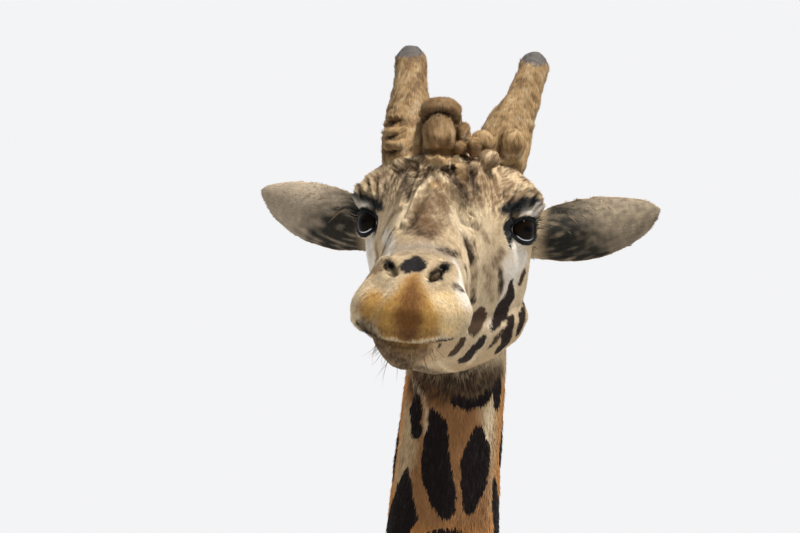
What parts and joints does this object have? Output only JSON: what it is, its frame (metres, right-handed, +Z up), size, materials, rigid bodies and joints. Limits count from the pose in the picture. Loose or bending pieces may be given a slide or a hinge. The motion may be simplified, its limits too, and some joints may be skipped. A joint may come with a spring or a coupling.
{
  "type": "giraffe",
  "caption": "Life-size standing adult bull giraffe with a raised long neck, spread ears and furred horns, as a still display model.",
  "frame": {"origin": "on the floor, under the middle of the animal's bounding box", "axes": "+Z up; the animal faces -Y and its left side is +X"},
  "size_m": [0.7238, 2.9568, 5.2085],
  "materials": {
    "coat": "short flat fur, tan with dark brown patches",
    "ear_coat": "thin grey-beige fur",
    "horn_coat": "fur over bone, bare dark tips",
    "mane_hair": "stiff upright hair",
    "tail_hair": "long black hair",
    "hoof": "dull horn",
    "eye": "wet, very dark brown"
  },
  "bodies": {
    "root": {"head": "coat", "lower_jaw": "coat", "neck": "coat", "trunk": "coat", "tail": "coat", "foreleg_left": "coat", "foreleg_right": "coat", "hindleg_left": "coat", "hindleg_right": "coat", "ear_left": "ear_coat", "ear_right": "ear_coat", "horn_left": "horn_coat", "horn_right": "horn_coat", "horn_middle": "horn_coat", "eye_left": "eye", "eye_right": "eye", "mane": "mane_hair", "tail_tuft": "tail_hair", "hoof_foreleg_left_inner": "hoof", "hoof_foreleg_left_outer": "hoof", "hoof_foreleg_right_inner": "hoof", "hoof_foreleg_right_outer": "hoof", "hoof_hindleg_left_inner": "hoof", "hoof_hindleg_left_outer": "hoof", "hoof_hindleg_right_inner": "hoof", "hoof_hindleg_right_outer": "hoof"}
  },
  "joints": []
}
